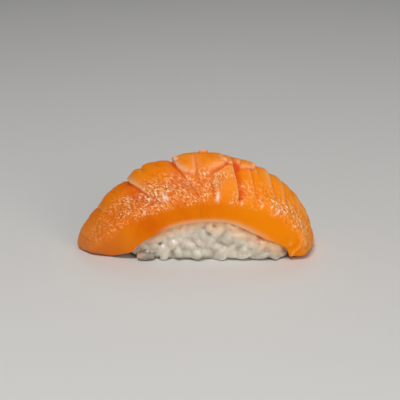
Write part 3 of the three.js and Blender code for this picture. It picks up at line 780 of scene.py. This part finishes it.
def grain_tree(shapes, material):
    """Scatters grains that lie along a surface, each turned, tipped and sized at random."""
    tree = bpy.data.node_groups.new("rice grains", "GeometryNodeTree")
    tree.interface.new_socket("Surface", in_out="INPUT", socket_type="NodeSocketGeometry")
    for name in ("Spacing", "Least Depth", "Most Depth", "Spin", "Tip", "Size Change"):
        tree.interface.new_socket(name, in_out="INPUT", socket_type="NodeSocketFloat")
    tree.interface.new_socket("Seed", in_out="INPUT", socket_type="NodeSocketInt")
    tree.interface.new_socket("Grains", in_out="OUTPUT", socket_type="NodeSocketGeometry")
    given = tree.nodes.new("NodeGroupInput").outputs
    minus = {
        name: add_node(tree, "ShaderNodeMath", {0: given[name], 1: -1.0}, operation="MULTIPLY")
        for name in ("Least Depth", "Most Depth", "Spin", "Tip")
    }
    scatter = add_node(tree, "GeometryNodeDistributePointsOnFaces", {
        "Mesh": given["Surface"],
        "Distance Min": given["Spacing"],
        "Density Max": GRAIN_DENSITY,
        "Seed": given["Seed"],
    }, distribute_method="POISSON")
    depth = add_node(tree, "FunctionNodeRandomValue", {
        LEAST: minus["Most Depth"], MOST: minus["Least Depth"], "Seed": DEPTH_SEED}, data_type="FLOAT")
    inward = add_node(tree, "ShaderNodeVectorMath", {
        0: scatter.outputs["Normal"], "Scale": depth}, operation="SCALE")
    sunk = add_node(tree, "GeometryNodeSetPosition", {
        "Geometry": scatter.outputs["Points"], "Offset": inward})
    angles = [
        add_node(tree, "FunctionNodeRandomValue", {
            LEAST: minus[name], MOST: given[name], "Seed": seed}, data_type="FLOAT")
        for name, seed in (("Tip", TIP_X_SEED), ("Tip", TIP_Y_SEED), ("Spin", SPIN_SEED))
    ]
    euler = add_node(tree, "ShaderNodeCombineXYZ", dict(enumerate(angles)))
    turn = add_node(tree, "FunctionNodeRotateRotation", {
        0: scatter.outputs["Rotation"],
        1: add_node(tree, "FunctionNodeEulerToRotation", {0: euler}),
    }, rotation_space="LOCAL")
    size = add_node(tree, "FunctionNodeRandomValue", {
        LEAST: add_node(tree, "ShaderNodeMath", {0: 1.0, 1: given["Size Change"]}, operation="SUBTRACT"),
        MOST: add_node(tree, "ShaderNodeMath", {0: 1.0, 1: given["Size Change"]}, operation="ADD"),
        "Seed": SIZE_SEED}, data_type="FLOAT")
    kinds = add_node(tree, "GeometryNodeCollectionInfo", {
        "Collection": shapes, "Separate Children": True, "Reset Children": True})
    grains = add_node(tree, "GeometryNodeInstanceOnPoints", {
        "Points": sunk,
        "Instance": kinds,
        "Pick Instance": True,
        "Rotation": turn,
        "Scale": size,
    })
    tone = add_node(tree, "FunctionNodeRandomValue", {
        LEAST: GRAIN_TONE[0], MOST: GRAIN_TONE[1], "Seed": TONE_SEED}, data_type="FLOAT")
    toned = add_node(tree, "GeometryNodeStoreNamedAttribute", {
        "Geometry": grains, "Name": "tone", "Value": tone}, data_type="FLOAT", domain="INSTANCE")
    real = add_node(tree, "GeometryNodeRealizeInstances", {0: toned})
    coated = add_node(tree, "GeometryNodeSetMaterial", {"Geometry": real, "Material": material})
    add_node(tree, "NodeGroupOutput", {0: coated})
    return tree


def join_pieces(name, pieces):
    """One mesh object of several, which are removed."""
    joined = bmesh.new()
    for piece in pieces:
        joined.from_mesh(piece.data)
    joined.to_mesh(pieces[0].data)
    joined.free()
    for piece in pieces[1:]:
        bpy.data.objects.remove(piece)
    pieces[0].name = name
    return pieces[0]


def applied(piece):
    """The same piece with its modifiers made real."""
    evaluated = piece.evaluated_get(bpy.context.evaluated_depsgraph_get())
    mesh = bpy.data.meshes.new_from_object(evaluated)
    piece.modifiers.clear()
    old = piece.data
    piece.data = mesh
    bpy.data.meshes.remove(old)
    return piece


def vertex_places(mesh):
    """The places of a mesh's vertices in mm."""
    points = np.empty(len(mesh.vertices) * 3)
    mesh.vertices.foreach_get("co", points)
    return points.reshape(-1, 3) / MM


def scattered_grains(material):
    """Grains that lie on the core's outline, as plain mesh."""
    seat_points = core_points(0)
    seat_points[..., 2] = np.maximum(seat_points[..., 2], GRAIN_LEAST_HEIGHT)
    seat = skin_object("grain_seat", seat_points, material)
    tree = grain_tree(grain_shapes(np.random.default_rng(GRAIN_SEED), material), material)
    scatter = seat.modifiers.new("grains", "NODES")
    scatter.node_group = tree
    sizes = {
        "Spacing": GRAIN_SPACING * MM,
        "Least Depth": GRAIN_BURY[0] * MM,
        "Most Depth": GRAIN_BURY[1] * MM,
        "Spin": GRAIN_SPIN,
        "Tip": GRAIN_TIP,
        "Size Change": GRAIN_CHANGE,
        "Seed": GRAIN_SEED,
    }
    for socket in tree.interface.items_tree:
        if socket.in_out == "INPUT" and socket.name in sizes:
            scatter[socket.identifier] = sizes[socket.name]
    return applied(seat)


def press_in(points):
    """Grains give way to the table below and to the slice above."""
    z = points[:, 2]
    z[:] = (z + np.sqrt(z * z + PRESS_SOFTNESS * PRESS_SOFTNESS)) / 2 - TABLE_PRESS
    room = underside_height(points[:, 0], points[:, 1]) - SLICE_ROOM - z
    z[:] -= (np.sqrt(room * room + PRESS_SOFTNESS * PRESS_SOFTNESS) - room) / 2
    z[:] = np.maximum(z, 0)


def pressed_rice(material):
    """Grains scattered over a core, and pressed until they stick: one skin over them all."""
    grains = scattered_grains(material)
    grain_places = vertex_places(grains.data)
    tones_and_shade = np.empty(len(grain_places), np.float32)
    grains.data.attributes["tone"].data.foreach_get("value", tones_and_shade)
    loose = []
    for place, lean, tone in LOOSE_GRAINS:
        loose.append(loose_grain(place, lean, material))
        places = vertex_places(loose[-1].data)
        grain_places = np.concatenate([grain_places, places])
        tones_and_shade = np.concatenate([tones_and_shade, np.full(len(places), tone)])
    core = skin_object("core", core_points(CORE_INSET), material)
    rice = join_pieces("pressed_rice", [grains, *loose, core])
    stick = rice.modifiers.new("stick together", "REMESH")
    stick.mode = "VOXEL"
    stick.voxel_size = STICK_SIZE * MM
    soften = rice.modifiers.new("soften", "SMOOTH")
    soften.factor = SOFTEN_SHARE
    soften.iterations = SOFTEN_ROUNDS
    applied(rice)

    mesh = rice.data
    points = vertex_places(mesh)
    press_in(points)
    mesh.vertices.foreach_set("co", (points * MM).ravel())
    # Each point of the skin takes the tone of the grain that is nearest.
    nearest = kdtree.KDTree(len(grain_places))
    for index, place in enumerate(grain_places.tolist()):
        nearest.insert(place, index)
    nearest.balance()
    tone = tones_and_shade[[nearest.find(place)[1] for place in points.tolist()]]
    # Painted shade: the grains under the blunt end are darker, for the shade of the slice above them.
    tone = tone * mix(1, HEAD_SHADE, smooth(*HEAD_SHADE_RUN, points[:, 0]))
    for key, values in (("tone", tone), ("salmon_bounce_light", salmon_bounce_light(points))):
        stored = mesh.attributes.new(key, "FLOAT", "POINT").data
        stored.foreach_set("value", values.astype(np.float32))
    mesh.shade_smooth()
    return rice


# ---------------------------------------------------------------- materials

# Sockets of a colour mix node, which has several of each name: how much of the colour over the
# other shows, and the two colours.
SHARE, UNDER, OVER = 0, 6, 7


def srgb(code):
    """A linear colour from sRGB hex."""
    parts = [int(code[i:i + 2], 16) / 255 for i in (1, 3, 5)]
    return [p / 12.92 if p <= 0.04045 else ((p + 0.055) / 1.055) ** 2.4 for p in parts] + [1.0]


def per_mm(size):
    """The scale of a texture whose features are this many millimetres."""
    return 1 / (size * MM)


def new_material(name, finish):
    """A material, its node tree and its shader, with the finish that is the same all over."""
    material = bpy.data.materials.new(name)
    material.use_nodes = True
    shader = material.node_tree.nodes["Principled BSDF"]
    for socket, value in finish.items():
        shader.inputs[socket].default_value = value
    return material, material.node_tree, shader


def raw_salmon():
    """Raw salmon flesh, cut with a wet knife.

    It is a dense orange, with painted shade down in the cuts and a painted glow where thin edges
    let light through. On the slopes the knife tore the fibres, which glisten with moisture and
    carry painted highlights; where it went straight through, the face is smooth and nearly matt.
    """
    material, tree, shader = new_material("raw_salmon", {
        "Roughness": 0.45,
        "IOR": 1.38,
        "Specular IOR Level": 0.1,
        "Subsurface Weight": 0.4,
        "Subsurface Radius": (1.0, 0.35, 0.05),
        "Subsurface Scale": 3.0 * MM,
        "Coat Roughness": 0.16,
        "Coat IOR": 1.34,
    })
    place = add_node(tree, "ShaderNodeTexCoord").outputs["Object"]
    sheet = add_node(tree, "ShaderNodeAttribute", attribute_name="sheet").outputs["Vector"]
    torn, edge_face, along, flake_light_and_shade, hem_glow, lip_glow, groove_shade, bead_and_highlight, ridge_highlight = (
        add_node(tree, "ShaderNodeAttribute", attribute_name=name).outputs["Fac"]
        for name in ("torn", "edge_face", "along", "flake_light_and_shade", "hem_glow", "lip_glow", "groove_shade", "bead_and_highlight", "ridge_highlight")
    )

    # Painted shade where a flake dives under the next one, and painted light towards its free edge.
    flesh = add_node(tree, "ShaderNodeValToRGB", {0: flake_light_and_shade})
    ramp = flesh.color_ramp
    ramp.elements[0].color = srgb("#D85200")
    ramp.elements[1].color = srgb("#FF9C42")
    for position, code in ((0.35, "#EA6E00"), (0.5, "#F28000"), (0.75, "#FA8E08")):
        ramp.elements.new(position).color = srgb(code)

    # The flesh is clouded over 7 mm or so, and redder in patches of 3 mm.
    clouds = add_node(tree, "ShaderNodeTexNoise", {
        "Vector": place, "Scale": per_mm(7), "Detail": 3.0})
    clouding = add_node(tree, "ShaderNodeMapRange", {
        "Value": clouds, "From Min": 0.35, "From Max": 0.7, "To Max": 0.5})
    patches = add_node(tree, "ShaderNodeTexNoise", {
        "Vector": place, "Scale": per_mm(3), "Detail": 2.0})
    blotching = add_node(tree, "ShaderNodeMapRange", {
        "Value": patches, "From Min": 0.5, "From Max": 0.7, "To Max": 0.4})

    # The cut face shows broad, faint bands of muscle that run down it, 8 mm along by 10 mm down.
    down = add_node(tree, "ShaderNodeMapping", {
        "Vector": sheet, "Scale": (1 / 8.0, 1 / 10.0, 1.0)})
    bands = add_node(tree, "ShaderNodeTexNoise", {"Vector": down, "Scale": 1.0, "Detail": 3.0})
    banding = add_node(tree, "ShaderNodeMapRange", {
        "Value": bands, "From Min": 0.3, "From Max": 0.7})
    cut_face = add_node(tree, "ShaderNodeMix", {
        SHARE: banding, UNDER: srgb("#E26C00"), OVER: srgb("#F08400")}, data_type="RGBA")

    # Painted shade makes the tail duller than the middle, and painted light makes the blunt end
    # brighter, as the light falls from the right front.
    tail_painted_shade = add_node(tree, "ShaderNodeMapRange", {
        "Value": along, "From Min": 0.0, "From Max": 0.14, "To Min": 0.65, "To Max": 0.0})
    head_painted_light = add_node(tree, "ShaderNodeMapRange", {
        "Value": along, "From Min": 0.3, "From Max": 0.72, "To Max": 0.8})
    # Painted highlight on the ridges, painted glow at the lips, painted shade in the grooves.
    on_ridge_highlight = add_node(tree, "ShaderNodeMath", {0: ridge_highlight, 1: 0.7}, operation="MULTIPLY")
    on_lip_glow = add_node(tree, "ShaderNodeMath", {0: lip_glow, 1: 0.8}, operation="MULTIPLY")
    in_groove_shade = add_node(tree, "ShaderNodeMath", {0: groove_shade, 1: 0.95}, operation="MULTIPLY")

    # Torn fibres are much finer than this; they are drawn coarse enough to show, 0.75 mm by 1 mm
    # and askew. Painted shade lies in the gaps between them, and painted highlights lie on them in
    # clusters of about 4 mm, with fewer of those by the tail.
    askew = add_node(tree, "ShaderNodeMapping", {
        "Vector": sheet, "Rotation": (0, 0, 0.6), "Scale": (1 / 0.75, 1 / 1.0, 1.0)})
    fibres = add_node(tree, "ShaderNodeTexNoise", {
        "Vector": askew, "Scale": 1.0, "Detail": 3.0, "Roughness": 0.6, "Distortion": 0.2})
    clusters = add_node(tree, "ShaderNodeTexNoise", {
        "Vector": place, "Scale": per_mm(4.2), "Detail": 2.0})
    clustering = add_node(tree, "ShaderNodeMapRange", {
        "Value": clusters, "From Min": 0.42, "From Max": 0.55, "To Min": 0.22, "To Max": 1.15})
    thinning = add_node(tree, "ShaderNodeMapRange", {
        "Value": along, "From Min": 0.05, "From Max": 0.17, "To Min": 0.3, "To Max": 1.0})
    fewer = add_node(tree, "ShaderNodeMath", {0: thinning, 1: torn}, operation="MULTIPLY")
    crowd = add_node(tree, "ShaderNodeMath", {0: clustering, 1: fewer}, operation="MULTIPLY")
    in_gap_shade, on_fleck_highlight, on_glint_highlight = (
        add_node(tree, "ShaderNodeMath", {
            0: add_node(tree, "ShaderNodeMapRange", {
                "Value": fibres, "From Min": start, "From Max": full, "To Max": most}),
            1: where}, operation="MULTIPLY")
        for start, full, most, where in (
            (0.5, 0.38, 0.7, torn), (0.46, 0.55, 0.8, crowd), (0.56, 0.63, 0.9, crowd))
    )

    # What lies over the flesh, one over the other: how much of it shows, and its colour.
    for share, colour in (
        (clouding, srgb("#FA8C00")),
        (blotching, srgb("#E25400")),
        (edge_face, cut_face),
        # painted shade at the tail, painted light at the blunt end
        (tail_painted_shade, srgb("#E88C40")),
        (head_painted_light, srgb("#FF9200")),
        # painted highlight on the ridges, painted glow at the hem and the lips, painted shade in the
        # grooves and gaps, painted highlights on the fibres and beads
        (on_ridge_highlight, srgb("#FFB060")),
        (hem_glow, srgb("#F4BC94")),
        (on_lip_glow, srgb("#FFCAA2")),
        (in_groove_shade, srgb("#DA4E00")),
        (in_gap_shade, srgb("#CE5004")),
        (on_fleck_highlight, srgb("#FFBA74")),
        (on_glint_highlight, srgb("#FFECD8")),
        (bead_and_highlight, srgb("#FFF4E6")),
    ):
        flesh = add_node(tree, "ShaderNodeMix", {
            SHARE: share, UNDER: flesh, OVER: colour}, data_type="RGBA")
    tree.links.new(flesh.outputs[2], shader.inputs["Base Color"])

    strength = add_node(tree, "ShaderNodeMath", {0: torn, 1: 0.15}, operation="ADD")
    bump = add_node(tree, "ShaderNodeBump", {
        "Strength": strength, "Distance": 0.5 * MM, "Height": fibres}).outputs[0]
    tree.links.new(bump, shader.inputs["Normal"])
    tree.links.new(bump, shader.inputs["Coat Normal"])

    # Moisture stands on the torn flesh, less of it at the blunt end and on the cut face.
    on_torn = add_node(tree, "ShaderNodeMapRange", {"Value": torn, "To Min": 0.05, "To Max": 1.0})
    off_head = add_node(tree, "ShaderNodeMapRange", {
        "Value": along, "From Min": 0.72, "From Max": 0.84, "To Min": 1.0, "To Max": 0.45})
    off_face = add_node(tree, "ShaderNodeMapRange", {
        "Value": edge_face, "To Min": 1.0, "To Max": 0.2})
    wet = add_node(tree, "ShaderNodeMath", {0: on_torn, 1: off_head}, operation="MULTIPLY")
    moisture = add_node(tree, "ShaderNodeMath", {0: wet, 1: off_face}, operation="MULTIPLY")
    tree.links.new(moisture.outputs[0], shader.inputs["Coat Weight"])
    return material


def cooked_rice_material():
    """Cooked short-grain rice: swollen, translucent, with a sticky sheen.

    Light goes deep into it, so the dips between grains stay pale. Next to the salmon it is
    painted with the orange light that bounces off the salmon.
    """
    material, tree, shader = new_material("cooked_rice", {
        "Roughness": 0.35,
        "IOR": 1.40,
        "Subsurface Weight": 1.0,
        "Subsurface Radius": (1.0, 0.85, 0.7),
        "Subsurface Scale": 7.0 * MM,
        "Coat Weight": 0.9,
        "Coat Roughness": 0.1,
        "Coat IOR": 1.34,
    })
    place = add_node(tree, "ShaderNodeTexCoord").outputs["Object"]
    bounce_light_share, tone = (
        add_node(tree, "ShaderNodeAttribute", attribute_name=name).outputs["Fac"]
        for name in ("salmon_bounce_light", "tone")
    )
    # The tone varies at random from grain to grain, and carries painted shade under the blunt end and on
    # the lowest loose grain.
    grain = add_node(tree, "ShaderNodeMix", {
        SHARE: tone, UNDER: srgb("#5C504A"), OVER: srgb("#E2D8C6")}, data_type="RGBA")
    starch = add_node(tree, "ShaderNodeTexNoise", {
        "Vector": place, "Scale": per_mm(2.2), "Detail": 2.0})
    clouding = add_node(tree, "ShaderNodeMath", {0: starch, 1: 0.5}, operation="MULTIPLY")
    cloudy = add_node(tree, "ShaderNodeMix", {
        SHARE: clouding, UNDER: grain, OVER: srgb("#E6DED0")}, data_type="RGBA")
    # Next to the salmon, painted orange light that bounces off it.
    tinted = add_node(tree, "ShaderNodeMix", {
        SHARE: bounce_light_share, UNDER: cloudy, OVER: srgb("#FCC294")}, data_type="RGBA")
    tree.links.new(tinted.outputs[2], shader.inputs["Base Color"])

    # The starch on it dries uneven, in lumps of about 0.9 mm.
    sticky = add_node(tree, "ShaderNodeTexNoise", {
        "Vector": place, "Scale": per_mm(0.9), "Detail": 2.0})
    bump = add_node(tree, "ShaderNodeBump", {
        "Strength": 0.4, "Distance": 0.1 * MM, "Height": sticky})
    tree.links.new(bump.outputs[0], shader.inputs["Normal"])
    return material


def painted_board_material():
    """Matt painted board, with a faint mottle."""
    material, tree, shader = new_material("pale_board", {"Roughness": 0.8})
    place = add_node(tree, "ShaderNodeTexCoord").outputs["Object"]
    mottle = add_node(tree, "ShaderNodeTexNoise", {"Vector": place, "Scale": 6.0})
    paint = add_node(tree, "ShaderNodeMix", {
        SHARE: mottle.outputs["Fac"], UNDER: srgb("#DAD9D6"), OVER: srgb("#E0DFDC")}, data_type="RGBA")
    tree.links.new(paint.outputs[2], shader.inputs["Base Color"])
    return material


# ---------------------------------------------------------------- pieces

salmon_flesh = raw_salmon()
cooked_rice = cooked_rice_material()

salmon_points, salmon_values = slice_skin()
salmon = skin_object("salmon_slice", salmon_points, salmon_flesh, **salmon_values)
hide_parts("salmon")
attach(salmon, "root")

rice = pressed_rice(cooked_rice)
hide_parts("rice")
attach(rice, "root")

# ---------------------------------------------------------------- camera, light and floor

CAMERA_ELEVATION = math.radians(19)
CAMERA_DISTANCE = 350
CAMERA_AIM = Vector((1.575, 4.82, 14.0))
CAMERA_LENS = 100
CAMERA_SENSOR = 36
FLOOR_SIZE = 4000
FILL = 0.18  # strength of the room's light

# Softboxes: name, place and size in metres, watts, colour.
SOFTBOXES = (
    ("key_softbox", (-0.09, -0.36, 0.60), 0.16, 2.5, "#FFFFFF"),
    ("front_softbox", (0.50, -0.78, 0.28), 0.50, 3.2, "#FFF8F0"),
    ("back_softbox", (0.10, 0.46, 0.64), 0.40, 0.6, "#FFFFFF"),
)

bpy.ops.mesh.primitive_plane_add(size=FLOOR_SIZE * MM)
floor = bpy.context.object
floor.name = "floor"
floor.data.materials.append(painted_board_material())

camera = bpy.data.objects.new("camera", bpy.data.cameras.new("camera"))
bpy.context.scene.collection.objects.link(camera)
back = Vector((0, -math.cos(CAMERA_ELEVATION), math.sin(CAMERA_ELEVATION)))
camera.location = (CAMERA_AIM + back * CAMERA_DISTANCE) * MM
camera.rotation_euler = back.to_track_quat("Z", "Y").to_euler()
camera.data.lens = CAMERA_LENS
camera.data.sensor_width = CAMERA_SENSOR
camera.data.clip_start = 0.01
bpy.context.scene.camera = camera

# Each softbox is a square light that faces the food.
for name, place, size, power, colour in SOFTBOXES:
    light = bpy.data.lights.new(name, "AREA")
    light.size = size
    light.energy = power
    light.color = srgb(colour)[:3]
    lamp = bpy.data.objects.new(name, light)
    lamp.location = place
    lamp.rotation_euler = Vector(place).to_track_quat("Z", "Y").to_euler()
    bpy.context.scene.collection.objects.link(lamp)

world = bpy.data.worlds.new("soft room")
world.use_nodes = True
background = world.node_tree.nodes["Background"]
background.inputs["Color"].default_value = srgb("#E8EAEC")
background.inputs["Strength"].default_value = FILL
bpy.context.scene.world = world
bpy.context.scene.view_settings.view_transform = "Standard"
